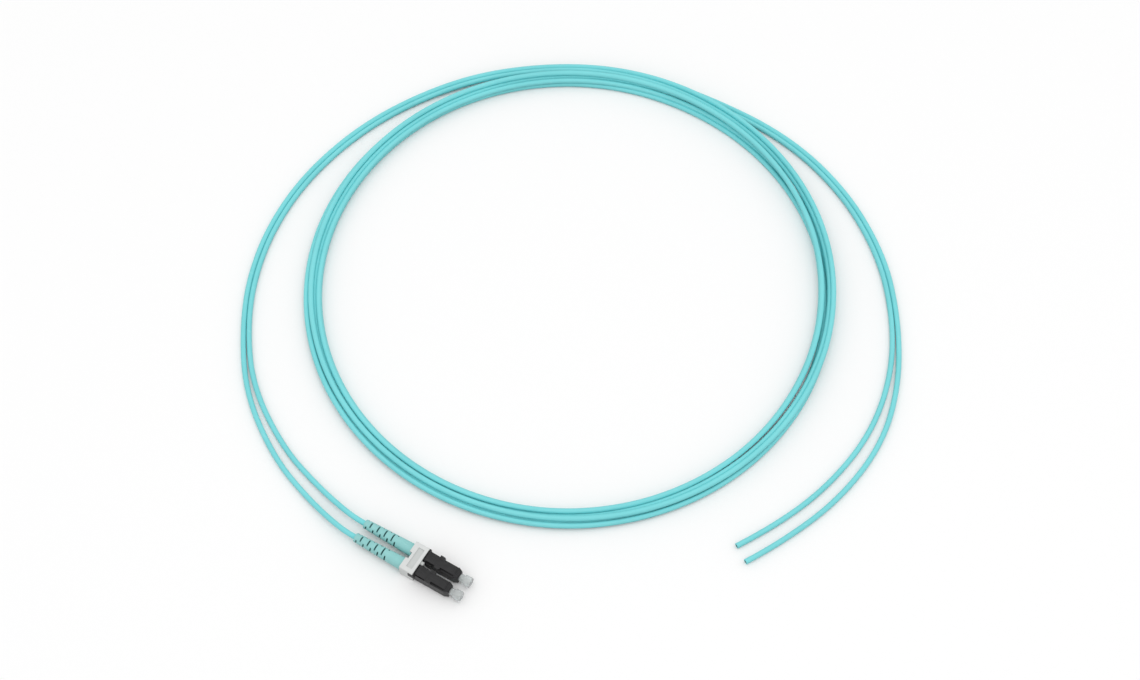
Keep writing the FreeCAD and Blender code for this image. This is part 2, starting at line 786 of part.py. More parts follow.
def jacket_coil(side, strand):
    """Three piled turns of one jacket as one unbroken tube."""
    diameter = size("jacket_diameter")
    stations = [coil_station(quarter, strand) for quarter in range(quarter_count() + 1)]
    quarters = [biarc(first, second) for first, second in zip(stations, stations[1:])]
    entry, leaving = coil_ends(strand)
    edges = [Part.LineSegment(entry, stations[0][0]).toShape()]
    for quarter in quarters:
        edges += quarter
    edges.append(Part.LineSegment(stations[-1][0], leaving).toShape())
    shape = swept_tube(edges, diameter, cord_facets)
    widest = 2 * corner_radius(diameter, cord_facets)
    print(f"jacket_coil_{side}: least gap to itself {least_self_gap(quarters, widest):.2f} mm")
    report_tube(f"jacket_coil_{side}", edges, shape, diameter, [])
    return add_shape(f"jacket_coil_{side}", shape)


def beside(points, offset):
    """A line parallel to a middle line, at its left for a positive offset, mitred at its corners."""
    shifted = []
    for place, point in enumerate(points):
        before = points[max(place - 1, 0)]
        after = points[min(place + 1, len(points) - 1)]
        arriving = Vector(point.x - before.x, point.y - before.y, 0)
        leaving = Vector(after.x - point.x, after.y - point.y, 0)
        if arriving.Length == 0:
            arriving = leaving
        if leaving.Length == 0:
            leaving = arriving
        half_turn = arriving.getAngle(leaving) / 2
        middle = Vector(arriving).normalize() + Vector(leaving).normalize()
        outward = Vector(-middle.y, middle.x, 0).normalize()
        shifted.append(point + outward * (offset / math.cos(half_turn)))
    return shifted


def report_tube(label, edges, shape, diameter, radii):
    """Prints a tube's length, its volume against section times length, and its radii."""
    length = sum(edge.Length for edge in edges)
    ratio = shape.Volume / (math.pi * diameter * diameter / 4 * length)
    print(f"{label}: length {length:.1f} mm, volume ratio {ratio:.4f}, radii {radii}")


def pair_offset(side):
    """Half the pair's spacing, to the left of travel for the outer, right-hand jacket."""
    return -sides[side] * column_pitch() / 2


def coil_approach(quarter, direction):
    """Middle-line points of the straight run before the coil's entry or after its exit."""
    place, heading = coil_station(quarter, (jackets_in_pair - 1) / 2)
    near = place + heading * direction * size("jacket_diameter")
    return near, near + heading * direction * size("coil_run_in")


def lead_route(side):
    """Points of the jacket from the crimp, through the boot and along the floor, up to the coil."""
    floor_level = size("jacket_diameter") / 2
    away = sides[side] * size("port_pitch") / 2
    near, far = coil_approach(0, -1)
    front = plug_rear() - size("post_barrel_length") - size("jacket_gap")
    bend = plug_rear() - size("boot_length") - size("exit_run")
    start = [Vector(across, away, axis_level()) for across in (front, bend)]
    leg = [Vector(across, away, floor_level) for across, away in lead_legs[side]]
    pair = [Vector(across, away, floor_level) for across, away in lead_pair] + [far, near]
    return start + leg + beside(pair, pair_offset(side))


def tail_route(side):
    """Points of the jacket from the coil to its bare cut end, all on the floor."""
    floor_level = size("jacket_diameter") / 2
    near, far = coil_approach(quarter_count(), 1)
    pair = [near, far] + [Vector(across, away, floor_level) for across, away in tail_pair]
    leg = [Vector(across, away, floor_level) for across, away in tail_legs[side]]
    return beside(pair, pair_offset(side)) + leg


def jacket_lead(side):
    """Free jacket from the crimp sleeve to the coil."""
    diameter = size("jacket_diameter")
    edges, radii = bent_path(lead_route(side))
    shape = free_jacket(edges, diameter)
    report_tube(f"jacket_lead_{side}", edges, shape, diameter, radii)
    return add_shape(f"jacket_lead_{side}", shape)


def jacket_tail(side):
    """Free jacket from the coil to the cut, and the fibre core bared in its end."""
    diameter = size("jacket_diameter")
    route = tail_route(side)
    edges, radii = bent_path(route)
    shape = free_jacket(edges, diameter)
    report_tube(f"jacket_tail_{side}", edges, shape, diameter, radii)
    inward = (route[-2] - route[-1]).normalize()
    core_radius = size("fibre_diameter") / 2
    core = Part.makeCylinder(core_radius, size("core_length"), route[-1], inward)
    bore = Part.makeCylinder(core_radius + size("core_clearance"), size("core_length"), route[-1], inward)
    add_shape(f"tail_fibre_{side}", core)
    return add_shape(f"jacket_tail_{side}", shape.cut(bore))


def ferrule_spring(side, sign):
    """Coil spring between the crimp post and the ferrule's flange."""
    wire = size("spring_wire")
    radius = (size("ferrule_diameter") - wire) / 2 + size("flange_wall") - size("spring_inset")
    turns = size("spring_turns")
    climb = (size("spring_length") - wire) / turns
    slope = climb / (2 * math.pi * radius)
    stations = []
    for quarter in range(round(turns * spring_quarters) + 1):
        angle = 2 * math.pi * quarter / spring_quarters
        place = Vector(climb * quarter / spring_quarters, -radius * math.sin(angle), radius * math.cos(angle))
        heading = Vector(slope, -math.cos(angle), -math.sin(angle)).normalize()
        stations.append((place, heading))
    edges = []
    for first, second in zip(stations, stations[1:]):
        edges += biarc(first, second)
    spring = add_shape(f"ferrule_spring_{side}", swept_tube(edges, wire, spring_facets))
    put_on_axis(spring, sign, f"{spring_rear} + Sizes.spring_wire / 2")
    return spring


def build():
    """Every piece of the pigtail, by name."""
    duplex_clip()
    for side, sign in sides.items():
        plug_housing(side, sign)
        latch_lever(side, sign)
        dust_cap(side, sign)
        ferrule(side, sign)
        ferrule_flange(side, sign)
        ferrule_spring(side, sign)
        crimp_post(side, sign)
        aramid_band(side, sign)
        crimp_sleeve(side, sign)
        boot(side, sign)
        buffered_fibre(side, sign)
        jacket_lead(side)
        jacket_coil(side, (1 - sign) / 2)
        jacket_tail(side)


piece_names = ["duplex_clip"]
paired_names = [
    "plug_housing", "latch_lever", "dust_cap", "ferrule", "ferrule_flange", "ferrule_spring", "crimp_post",
    "aramid_band", "crimp_sleeve", "boot", "buffered_fibre", "jacket_lead", "jacket_coil", "jacket_tail",
    "tail_fibre",
]
piece_names += [f"{name}_{side}" for name in paired_names for side in sides]


def check_and_write():
    """Stops on any failed object or bad shape, then writes one file for each piece."""
    failed = [item.Name for item in document.Objects if {"Invalid", "Error"} & set(item.State)]
    if failed:
        raise RuntimeError(f"failed objects: {failed}")
    os.makedirs("parts", exist_ok=True)
    for name in piece_names:
        piece = document.getObjectsByLabel(name)[0]
        shape = piece.Shape
        if shape.isNull() or not shape.isValid() or len(shape.Solids) != 1:
            raise RuntimeError(f"bad shape: {name}")
        shape.exportStep(f"parts/{name}.step")
        box = shape.BoundBox
        print(f"{name}: volume {shape.Volume:.2f} mm3, X {box.XMin:.2f} to {box.XMax:.2f}, "
              f"Y {box.YMin:.2f} to {box.YMax:.2f}, Z {box.ZMin:.2f} to {box.ZMax:.2f}")


build()
document.recompute()
check_and_write()
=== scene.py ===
import math

import bmesh
import bpy
import numpy as np
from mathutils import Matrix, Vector


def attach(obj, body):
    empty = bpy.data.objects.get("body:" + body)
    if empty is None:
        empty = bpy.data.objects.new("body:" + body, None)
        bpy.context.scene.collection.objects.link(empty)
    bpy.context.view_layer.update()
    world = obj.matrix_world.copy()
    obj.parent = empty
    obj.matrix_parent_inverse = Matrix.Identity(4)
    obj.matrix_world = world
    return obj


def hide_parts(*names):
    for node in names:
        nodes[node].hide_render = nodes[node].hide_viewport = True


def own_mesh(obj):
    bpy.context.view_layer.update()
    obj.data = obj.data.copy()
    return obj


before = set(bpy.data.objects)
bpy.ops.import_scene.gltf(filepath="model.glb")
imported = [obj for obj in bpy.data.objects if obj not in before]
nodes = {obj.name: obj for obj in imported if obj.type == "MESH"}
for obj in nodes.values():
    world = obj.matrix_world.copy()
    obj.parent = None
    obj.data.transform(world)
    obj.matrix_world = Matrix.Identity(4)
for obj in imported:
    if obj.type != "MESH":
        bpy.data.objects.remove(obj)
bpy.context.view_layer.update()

# Sizes and places are in millimetres unless a note says otherwise. The scene itself is in metres.
mm = 0.001
sides = {"left": 1, "right": -1}
print("frame loaded:", len(nodes), "CAD pieces")


def addNoise(tree, coordinates, size, detail, stretch=(1.0, 1.0, 1.0)):
    # Noise whose blotches are about size millimetres across, longer along an axis whose stretch is under 1.
    mapping = tree.nodes.new("ShaderNodeMapping")
    mapping.inputs["Scale"].default_value = stretch
    noise = tree.nodes.new("ShaderNodeTexNoise")
    noise.inputs["Scale"].default_value = 1 / (size * mm)
    noise.inputs["Detail"].default_value = detail
    tree.links.new(coordinates, mapping.inputs["Vector"])
    tree.links.new(mapping.outputs["Vector"], noise.inputs["Vector"])
    return noise.outputs["Fac"]


def addRamp(tree, factor, start, end, low, high):
    # A factor stretched evenly: low at the start, high at the end, and no further.
    ramp = tree.nodes.new("ShaderNodeMapRange")
    for socket, value in (("From Min", start), ("From Max", end), ("To Min", low), ("To Max", high)):
        ramp.inputs[socket].default_value = value
    tree.links.new(factor, ramp.inputs["Value"])
    return ramp.outputs["Result"]


def addMix(tree, factor, first, second):
    # Colour between two others, each a socket or a plain colour: first + factor * (second - first). The mix
    # node takes them at its sockets 6 and 7.
    mix = tree.nodes.new("ShaderNodeMix")
    mix.data_type = "RGBA"
    tree.links.new(factor, mix.inputs[0])
    for place, colour in ((6, first), (7, second)):
        if isinstance(colour, tuple):
            mix.inputs[place].default_value = (*colour, 1.0)
        else:
            tree.links.new(colour, mix.inputs[place])
    return mix.outputs[2]


# Camera, floor and light. Places are in metres.
studio = {
    "cameraPlace": (0.2139, -0.2469, 0.7213),
    "cameraTarget": (0.0004, 0.1077, 0.0),
    "lens": 69.47,
    "nearestSeen": 0.01,
    "floorSize": 6.0,
    "floorSeen": 0.99,
    "floorBounce": 0.42,
    "floorRoughness": 0.9,
    "floorShine": 0.1,
    "worldColour": (1.0, 1.0, 1.0),
    "worldStrength": 0.88,
    "lampPower": 4.0,
    "lampPlace": (0.20, -0.05, 1.6),
    "lampTarget": (0.0, 0.11, 0.0),
    "lampSize": 1.4,
}


def aimed(place, target):
    # Turn that points an object's -Z from place to target, with its Y as near to up as it goes.
    return (Vector(target) - Vector(place)).to_track_quat("-Z", "Y").to_euler()


def addCamera(settings):
    # The camera, at its place and aimed at its target.
    camera = bpy.data.objects.new("camera", bpy.data.cameras.new("camera"))
    camera.data.lens = settings["lens"]
    camera.data.clip_start = settings["nearestSeen"]
    camera.location = settings["cameraPlace"]
    camera.rotation_euler = aimed(settings["cameraPlace"], settings["cameraTarget"])
    bpy.context.collection.objects.link(camera)
    bpy.context.scene.camera = camera


def addLight(settings):
    # An even white sky and one large round lamp.
    world = bpy.data.worlds.new("studio")
    bpy.context.scene.world = world
    world.use_nodes = True
    background = world.node_tree.nodes["Background"]
    background.inputs["Color"].default_value = (*settings["worldColour"], 1.0)
    background.inputs["Strength"].default_value = settings["worldStrength"]
    lamp = bpy.data.objects.new("softbox", bpy.data.lights.new("softbox", "AREA"))
    lamp.data.shape = "DISK"
    lamp.data.size = settings["lampSize"]
    lamp.data.energy = settings["lampPower"]
    lamp.location = settings["lampPlace"]
    lamp.rotation_euler = aimed(settings["lampPlace"], settings["lampTarget"])
    bpy.context.collection.objects.link(lamp)


def addFloor(settings):
    # The floor is nearly white to the camera, and darker to the light that it sends up to the pieces.
    half = settings["floorSize"] / 2
    corners = [(-half, -half, 0), (half, -half, 0), (half, half, 0), (-half, half, 0)]
    mesh = bpy.data.meshes.new("floor")
    mesh.from_pydata(corners, [], [(0, 1, 2, 3)])
    floor = bpy.data.objects.new("floor", mesh)
    bpy.context.collection.objects.link(floor)
    material = bpy.data.materials.new("paleFloor")
    material.use_nodes = True
    tree = material.node_tree
    shader = tree.nodes["Principled BSDF"]
    rays = tree.nodes.new("ShaderNodeLightPath")
    seen = rays.outputs["Is Camera Ray"]
    for kind in ("Is Glossy Ray", "Is Transmission Ray"):
        either = tree.nodes.new("ShaderNodeMath")
        either.operation = "MAXIMUM"
        tree.links.new(seen, either.inputs[0])
        tree.links.new(rays.outputs[kind], either.inputs[1])
        seen = either.outputs[0]
    bounce, pale = ((settings[key],) * 3 for key in ("floorBounce", "floorSeen"))
    tree.links.new(addMix(tree, seen, bounce, pale), shader.inputs["Base Color"])
    shader.inputs["Roughness"].default_value = settings["floorRoughness"]
    shader.inputs["Specular IOR Level"].default_value = settings["floorShine"]
    mesh.materials.append(material)


addCamera(studio)
addLight(studio)
addFloor(studio)
bpy.context.scene.view_settings.view_transform = "Standard"
print("camera, floor and light placed")

# How the three noises of every finish are read: their detail, and where their ramps start and end.
texture = {
    "driftDetail": 3.0, "driftRamp": (0.35, 0.65),
    "grainDetail": 4.0, "grainRamp": (0.3, 0.7), "relief": 0.5,
    "streakDetail": 6.0, "streakStretch": (0.15, 1.0, 1.0), "streakRamp": (0.66, 0.80), "streakReach": 0.2,
}

# Every finish: two close colours that drift into each other, a fine grain that sets gloss and relief,
# and faint rubbed streaks.
finishes = {
    "aquaJacket": {
        "colour": (0.203, 0.700, 0.730), "drift": (0.222, 0.740, 0.770), "driftSize": 22.0,
        "gloss": (0.40, 0.52), "grainSize": 0.25, "grainDepth": 0.004,
        "rubbed": (0.28, 0.76, 0.79), "rubSize": 1.2, "rubShare": 0.10, "shine": 0.30,
    },
    "aquaBoot": {
        "colour": (0.270, 0.600, 0.590), "drift": (0.300, 0.640, 0.630), "driftSize": 5.0,
        "gloss": (0.50, 0.66), "grainSize": 0.12, "grainDepth": 0.006,
        "rubbed": (0.38, 0.70, 0.69), "rubSize": 0.5, "rubShare": 0.12,
        # Painted shade: the colour that the boot's slots are darkened towards.
        "paintedSlotShade": (0.03, 0.13, 0.13),
    },
    "paleClip": {
        "colour": (0.680, 0.700, 0.690), "drift": (0.710, 0.725, 0.715), "driftSize": 4.0,
        "gloss": (0.38, 0.50), "grainSize": 0.15, "grainDepth": 0.004,
        "rubbed": (0.76, 0.77, 0.76), "rubSize": 0.5, "rubShare": 0.10,
        # Painted shade: the colour that the clip's groove floor is darkened towards.
        "paintedSlotShade": (0.60, 0.62, 0.61),
    },
    "blackHousing": {
        "colour": (0.012, 0.012, 0.013), "drift": (0.016, 0.016, 0.017), "driftSize": 3.0,
        "gloss": (0.34, 0.46), "grainSize": 0.12, "grainDepth": 0.005,
        "rubbed": (0.035, 0.035, 0.036), "rubSize": 0.6, "rubShare": 0.14, "shine": 0.35,
    },
    "blackLatch": {
        "colour": (0.012, 0.012, 0.013), "drift": (0.017, 0.017, 0.018), "driftSize": 2.0,
        "gloss": (0.30, 0.42), "grainSize": 0.10, "grainDepth": 0.004,
        "rubbed": (0.05, 0.05, 0.05), "rubSize": 0.5, "rubShare": 0.20, "shine": 0.35,
    },
    "clearCap": {
        "colour": (0.80, 0.84, 0.84), "drift": (0.84, 0.87, 0.87), "driftSize": 2.0,
        "gloss": (0.16, 0.22), "grainSize": 0.80, "grainDepth": 0.001,
        "rubbed": (0.88, 0.90, 0.90), "rubSize": 0.8, "rubShare": 0.08,
        "transmission": 0.60, "bend": 1.45,
    },
    "ceramicFerrule": {
        "colour": (0.84, 0.82, 0.76), "drift": (0.88, 0.87, 0.82), "driftSize": 1.5,
        "gloss": (0.10, 0.16), "grainSize": 0.05, "grainDepth": 0.001,
        "rubbed": (0.80, 0.79, 0.76), "rubSize": 0.3, "rubShare": 0.08,
    },
    "platedFlange": {
        "colour": (0.50, 0.49, 0.46), "drift": (0.57, 0.56, 0.53), "driftSize": 1.5,
        "gloss": (0.22, 0.34), "grainSize": 0.08, "grainDepth": 0.002,
        "rubbed": (0.68, 0.67, 0.64), "rubSize": 0.3, "rubShare": 0.18, "metal": 1.0,
    },
    "springWire": {
        "colour": (0.42, 0.42, 0.42), "drift": (0.50, 0.50, 0.50), "driftSize": 0.8,
        "gloss": (0.20, 0.32), "grainSize": 0.06, "grainDepth": 0.002,
        "rubbed": (0.62, 0.62, 0.62), "rubSize": 0.2, "rubShare": 0.15, "metal": 1.0,
    },
    "platedPost": {
        "colour": (0.48, 0.47, 0.44), "drift": (0.55, 0.54, 0.51), "driftSize": 1.8,
        "gloss": (0.26, 0.38), "grainSize": 0.08, "grainDepth": 0.003,
        "rubbed": (0.65, 0.64, 0.61), "rubSize": 0.35, "rubShare": 0.15, "metal": 1.0,
    },
    "crimpedSleeve": {
        "colour": (0.54, 0.54, 0.56), "drift": (0.62, 0.62, 0.63), "driftSize": 1.2,
        "gloss": (0.30, 0.45), "grainSize": 0.10, "grainDepth": 0.006,
        "rubbed": (0.74, 0.74, 0.75), "rubSize": 0.3, "rubShare": 0.2, "metal": 1.0,
    },
    "yellowYarn": {
        "colour": (0.62, 0.48, 0.10), "drift": (0.74, 0.60, 0.18), "driftSize": 0.6,
        "gloss": (0.55, 0.75), "grainSize": 0.05, "grainDepth": 0.020,
        "rubbed": (0.80, 0.70, 0.34), "rubSize": 0.08, "rubShare": 0.4,
    },
    "whiteBuffer": {
        "colour": (0.80, 0.80, 0.77), "drift": (0.84, 0.84, 0.81), "driftSize": 3.0,
        "gloss": (0.36, 0.48), "grainSize": 0.12, "grainDepth": 0.002,
        "rubbed": (0.88, 0.88, 0.86), "rubSize": 0.4, "rubShare": 0.08,
    },
    # Painted shade: the fibre tail in each open cut end is coloured dark blue-green, as the shade inside the
    # jacket.
    "coreInShade": {
        "colour": (0.045, 0.090, 0.095), "drift": (0.060, 0.110, 0.115), "driftSize": 0.8,
        "gloss": (0.45, 0.60), "grainSize": 0.05, "grainDepth": 0.004,
        "rubbed": (0.10, 0.16, 0.16), "rubSize": 0.2, "rubShare": 0.15,
    },
}


def madeFinish(name, settings):
    # The drift noise mixes the two colours, the grain noise steps the roughness and lifts the relief, and the
    # streak noise, above a start that a larger share of streaks lowers, mixes in the rubbed colour.
    look = finishes[name]
    material = bpy.data.materials.new(name)
    material.use_nodes = True
    tree = material.node_tree
    shader = tree.nodes["Principled BSDF"]
    place = tree.nodes.new("ShaderNodeTexCoord").outputs["Object"]
    drift = addNoise(tree, place, look["driftSize"], settings["driftDetail"])
    drift = addRamp(tree, drift, *settings["driftRamp"], 0.0, 1.0)
    grain = addNoise(tree, place, look["grainSize"], settings["grainDetail"])
    streaks = addNoise(tree, place, look["rubSize"], settings["streakDetail"], settings["streakStretch"])
    streakStart, streakEnd = settings["streakRamp"]
    streakStart -= settings["streakReach"] * look["rubShare"]
    rubbed = addRamp(tree, streaks, streakStart, streakEnd, 0.0, 1.0)
    colour = addMix(tree, drift, look["colour"], look["drift"])
    colour = addMix(tree, rubbed, colour, look["rubbed"])
    # Painted shade: where a mesh carries a slot shade amount, the colour is darkened towards its finish's
    # painted slot shade.
    if "paintedSlotShade" in look:
        depth = tree.nodes.new("ShaderNodeAttribute")
        depth.attribute_name = "slotShadeAmount"
        colour = addMix(tree, depth.outputs["Fac"], colour, look["paintedSlotShade"])
    tree.links.new(colour, shader.inputs["Base Color"])
    roughness = addRamp(tree, grain, *settings["grainRamp"], *look["gloss"])
    tree.links.new(roughness, shader.inputs["Roughness"])
    bump = tree.nodes.new("ShaderNodeBump")
    bump.inputs["Strength"].default_value = settings["relief"]
    bump.inputs["Distance"].default_value = look["grainDepth"] * mm
    tree.links.new(grain, bump.inputs["Height"])
    tree.links.new(bump.outputs["Normal"], shader.inputs["Normal"])
    shader.inputs["Metallic"].default_value = look.get("metal", 0.0)
    shader.inputs["Transmission Weight"].default_value = look.get("transmission", 0.0)
    shader.inputs["IOR"].default_value = look.get("bend", 1.5)
    shader.inputs["Specular IOR Level"].default_value = look.get("shine", 0.5)
    return material


made = {name: madeFinish(name, texture) for name in finishes}
print("finishes made:", len(made))

# Finish of each kind of CAD piece, those that a new piece stands for included.
nodeFinishes = {
    "duplex_clip": "paleClip",
    "ferrule": "ceramicFerrule",
    "ferrule_flange": "platedFlange",
    "ferrule_spring": "springWire",
    "crimp_post": "platedPost",
    "aramid_band": "yellowYarn",
    "crimp_sleeve": "crimpedSleeve",
    "buffered_fibre": "whiteBuffer",
    "tail_fibre": "coreInShade",
    "plug_housing": "blackHousing",
    "latch_lever": "blackLatch",
    "dust_cap": "clearCap",
    "boot": "aquaBoot",
    "jacket_lead": "aquaJacket",
    "jacket_coil": "aquaJacket",
    "jacket_tail": "aquaJacket",
}
for node, piece in nodes.items():
    kind = node.removesuffix("_left").removesuffix("_right")
    for slot in piece.material_slots:
        slot.material = made[nodeFinishes[kind]]
print("CAD pieces finished")

# Both plugs lie along X at this height, half the pitch to either side.
plug = {"pitch": 6.25, "height": 3.0}

# Points nearer than the weld are one. Edges sharper than the bevel's angle are rounded, in this many steps,
# on pieces that have a bevel, and on the others edges sharper than the sharp angle keep their crease.
meshing = {"weld": 0.0002, "bevelAngle": 40, "bevelSteps": 2, "sharpAngle": 50}


def ringAngles(columns):
    # Even angles round a ring, from half a step on: (number + 1/2) * a full turn / columns.
    return (np.arange(columns) + 0.5) * 2 * np.pi / columns


def sectionRings(stations, columns):
    # Rings square to X, one for each station of x, middle y, middle z, half width, half height and corner.
    # At the angle t a ring's point is the middle of its corner's arc, (sign cos t)(width - corner) and
    # (sign sin t)(height - corner), plus the corner radius times (cos t, sin t).
    table = np.array(stations, dtype=float)[:, :, None]
    x, midY, midZ, width, height, corner = (table[:, place] for place in range(table.shape[1]))
    t = ringAngles(columns)
    y = midY + np.sign(np.cos(t)) * (width - corner) + corner * np.cos(t)
    z = midZ + np.sign(np.sin(t)) * (height - corner) + corner * np.sin(t)
    return np.stack([x + 0 * t, y, z], axis=2)


def roundRings(profile, columns):
    # Rings about X of a turned piece: at each (x, radius) of the profile, radius times (cos t, sin t).
    table = np.array(profile, dtype=float)
    t = ringAngles(columns)
    x = np.repeat(table[:, :1], columns, axis=1)
    return np.stack([x, table[:, 1:] * np.cos(t), table[:, 1:] * np.sin(t)], axis=2)


def quarterRound(x, radius, size, acrossStart, steps):
    # Profile points of a quarter circle between the end plane at x and the given radius. With a from 0 to a
    # right angle, a rear rim, which starts across the axis, goes outwards by x + size * (1 - cos a) and
    # radius - size * (1 - sin a). A front rim comes inwards by x - size * (1 - sin a) and
    # radius - size * (1 - cos a).
    a = np.linspace(0, np.pi / 2, steps + 1)
    if acrossStart:
        return [(x + size * (1 - c), radius - size * (1 - s)) for c, s in zip(np.cos(a), np.sin(a))]
    return [(x - size * (1 - s), radius - size * (1 - c)) for c, s in zip(np.cos(a), np.sin(a))]


def surfacePiece(name, grids, side, finish, bevel=0.0, attribute=None):
    # One closed mesh of ring grids, moved onto the plug's axis. A grid whose last ring is its first again
    # closes on itself, and a ring of no size closes an end, because the points that fall together are merged.
    points = []
    faces = []
    count = 0
    for grid in grids:
        rows, columns = grid.shape[:2]
        number = count + np.arange(rows * columns).reshape(rows, columns)
        around = np.hstack([number, number[:, :1]])
        quads = np.stack([around[:-1, :-1], around[:-1, 1:], around[1:, 1:], around[1:, :-1]], axis=2)
        faces += quads.reshape(-1, 4).tolist()
        points.append(grid.reshape(-1, 3))
        count += rows * columns
    placed = np.vstack(points) + (0, sides.get(side, 0) * plug["pitch"] / 2, plug["height"])
    mesh = bpy.data.meshes.new(name)
    mesh.from_pydata((placed * mm).tolist(), [], faces)
    # The painted slot shade amount, where given, is kept on the points.
    if attribute is not None:
        layer = mesh.attributes.new("slotShadeAmount", "FLOAT", "POINT")
        layer.data.foreach_set("value", attribute.astype(np.float32).ravel())
    merged = bmesh.new()
    merged.from_mesh(mesh)
    bmesh.ops.remove_doubles(merged, verts=merged.verts, dist=meshing["weld"] * mm)
    merged.to_mesh(mesh)
    merged.free()
    return finishedPiece(name, mesh, finish, bevel)


def finishedPiece(name, mesh, finish, bevel):
    # The mesh as a smooth shaded object in its finish, its sharp edges rounded where a bevel is given.
    mesh.polygons.foreach_set("use_smooth", np.ones(len(mesh.polygons), dtype=bool))
    mesh.materials.append(made[finish])
    piece = bpy.data.objects.new(name, mesh)
    bpy.context.collection.objects.link(piece)
    if bevel:
        rim = piece.modifiers.new("rim", "BEVEL")
        rim.width = bevel * mm
        rim.segments = meshing["bevelSteps"]
        rim.limit_method = "ANGLE"
        rim.angle_limit = math.radians(meshing["bevelAngle"])
        rim.harden_normals = True
        flats = piece.modifiers.new("flats", "WEIGHTED_NORMAL")
        flats.keep_sharp = True
    else:
        mesh.set_sharp_from_angle(angle=math.radians(meshing["sharpAngle"]))
    return piece


def closed(stations):
    # The stations between two more of no size, which close the first and the last ring.
    first, last = stations[0], stations[-1]
    return [(*first[:3], 0, 0, 0), *stations, (*last[:3], 0, 0, 0)]


def block(rear, front, midY, midZ, halfWidth, halfHeight, corner):
    # Stations of a closed box with rounded long edges.
    ring = (midY, midZ, halfWidth, halfHeight, corner)
    return closed([(rear, *ring), (front, *ring)])


# Strain relief boot.
boot = {
    "rear": -22.5, "collar": -2.8, "front": -1.2, "collarRun": 0.8,
    "endRadius": 1.75, "baseRadius": 2.4, "endRound": 0.3, "roundSteps": 4, "boreRound": 0.1,
    "bore": 1.12, "roomRear": -8.15, "room": 1.675,
    "slotWidth": 0.45, "slotLip": 0.07, "lipSteps": (1, 0.6, 0.3, 0), "slotFloor": 1.26, "slotPitch": 3.1,
    "firstSideSlot": -21.275, "sideSlots": 5, "firstFaceSlot": -19.725, "faceSlots": 4,
    "fullShadeDepth": 0.35, "stations": 30, "columns": 64,
}


def bootStations(settings, middles):
    # Places along X from the end's rim to the collar: an even row, and the steps of each slot's two lips at
    # middle - and + (half the width + step * lip). They are rounded, so that equal places fall together.
    half = settings["slotWidth"] / 2
    rise = half + settings["slotLip"] * np.array(settings["lipSteps"])
    offsets = np.concatenate([-rise, rise[::-1]])
    plain = np.linspace(settings["rear"] + settings["endRound"], settings["collar"], settings["stations"])
    return np.unique(np.round(np.concatenate([(middles[:, None] + offsets).ravel(), plain]), 4))


def bootGrid(settings):
    # Outer radius: a straight taper from the end to the collar. In a slot it falls to the flat floor, whose
    # radius at the angle t is floor / |sin t| on the faces and floor / |cos t| on the sides, by a smooth step
    # 3 share^2 - 2 share^3 over the lip. The bore and the room for the crimp sleeve close the grid inside.
    rear, collar, front = settings["rear"], settings["collar"], settings["front"]
    bore, room = settings["bore"], settings["room"]
    columns = settings["columns"]
    sideMiddles, faceMiddles = (
        settings[first] + settings["slotPitch"] * np.arange(settings[count])
        for first, count in (("firstSideSlot", "sideSlots"), ("firstFaceSlot", "faceSlots"))
    )
    x = bootStations(settings, np.concatenate([sideMiddles, faceMiddles]))
    endRadius, endRound = settings["endRadius"], settings["endRound"]
    outer = np.interp(x, [rear + endRound, collar], [endRadius, settings["baseRadius"]])
    rim = np.array(quarterRound(rear, endRadius, endRound, True, settings["roundSteps"]))[:-1]
    x = np.concatenate([rim[:, 0], x, [collar + settings["collarRun"], front]])
    outer = np.concatenate([rim[:, 1], outer, 2 * [settings["baseRadius"]]])[:, None]
    t = ringAngles(columns)
    radius = np.repeat(outer, columns, axis=1)
    edge = settings["slotWidth"] / 2 + settings["slotLip"]
    for middles, across in ((sideMiddles, np.abs(np.cos(t))), (faceMiddles, np.abs(np.sin(t)))):
        away = np.min(np.abs(x[:, None] - middles), axis=1)
        share = np.clip((edge - away) / settings["slotLip"], 0, 1)
        share = (share * share * (3 - 2 * share))[:, None]
        radius -= share * np.clip(outer - settings["slotFloor"] / across, 0, None)
    # Painted shade: the deeper a point lies below the taper, up to the full shade depth, the more it is
    # darkened in the slots.
    depth = np.clip((outer - radius) / settings["fullShadeDepth"], 0, 1)
    along = np.repeat(x[:, None], columns, axis=1)
    skin = np.stack([along, radius * np.cos(t), radius * np.sin(t)], axis=2)
    inside = roundRings([
        (front, room), (settings["roomRear"], room), (settings["roomRear"], bore),
        (rear + settings["boreRound"], bore), (rear, bore + settings["boreRound"]), (x[0], outer[0, 0]),
    ], columns)
    depth = np.vstack([depth, np.zeros((len(inside), columns))])
    return np.vstack([skin, inside]), depth


for side in sides:
    # Each boot carries its painted slot shade amount to its finish.
    grid, depth = bootGrid(boot)
    piece = surfacePiece(f"strainRelief_{side}", [grid], side, "aquaBoot", attribute=depth)
    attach(piece, "base")
    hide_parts(f"boot_{side}")
print("boots made")

# Plug housing, its snap lug and the small fold at the latch's root.
housing = {
    "rear": -1.2, "front": 18.0, "halfWidth": 2.21, "halfHeight": 2.26, "corner": 0.28,
    "taperStart": 16.5, "noseHalf": 1.51, "noseBevel": 0.35, "noseFlare": 0.16,
    "deckRear": 3.8, "deckFront": 16.2, "deckLevel": 1.70,
    "noseBore": 1.45, "noseFloor": 16.9, "window": 0.9245, "cavityFront": 16.3, "cavity": 1.30,
    "postStep": 3.6, "rearBore": 1.72,
    "lugRear": 1.75, "lugFront": 4.20, "lugReach": 0.75, "lugRoot": 0.2, "lugRaise": 1.2,
    "lugHalfHeight": 1.0, "lugCorner": 0.14,
    "foldAt": 16.55, "foldHalfLength": 1.5, "foldRadius": 0.11, "foldSink": 0.02, "foldRoundness": 0.9,
    "edge": 0.09, "columns": 32, "smallColumns": 16,
}


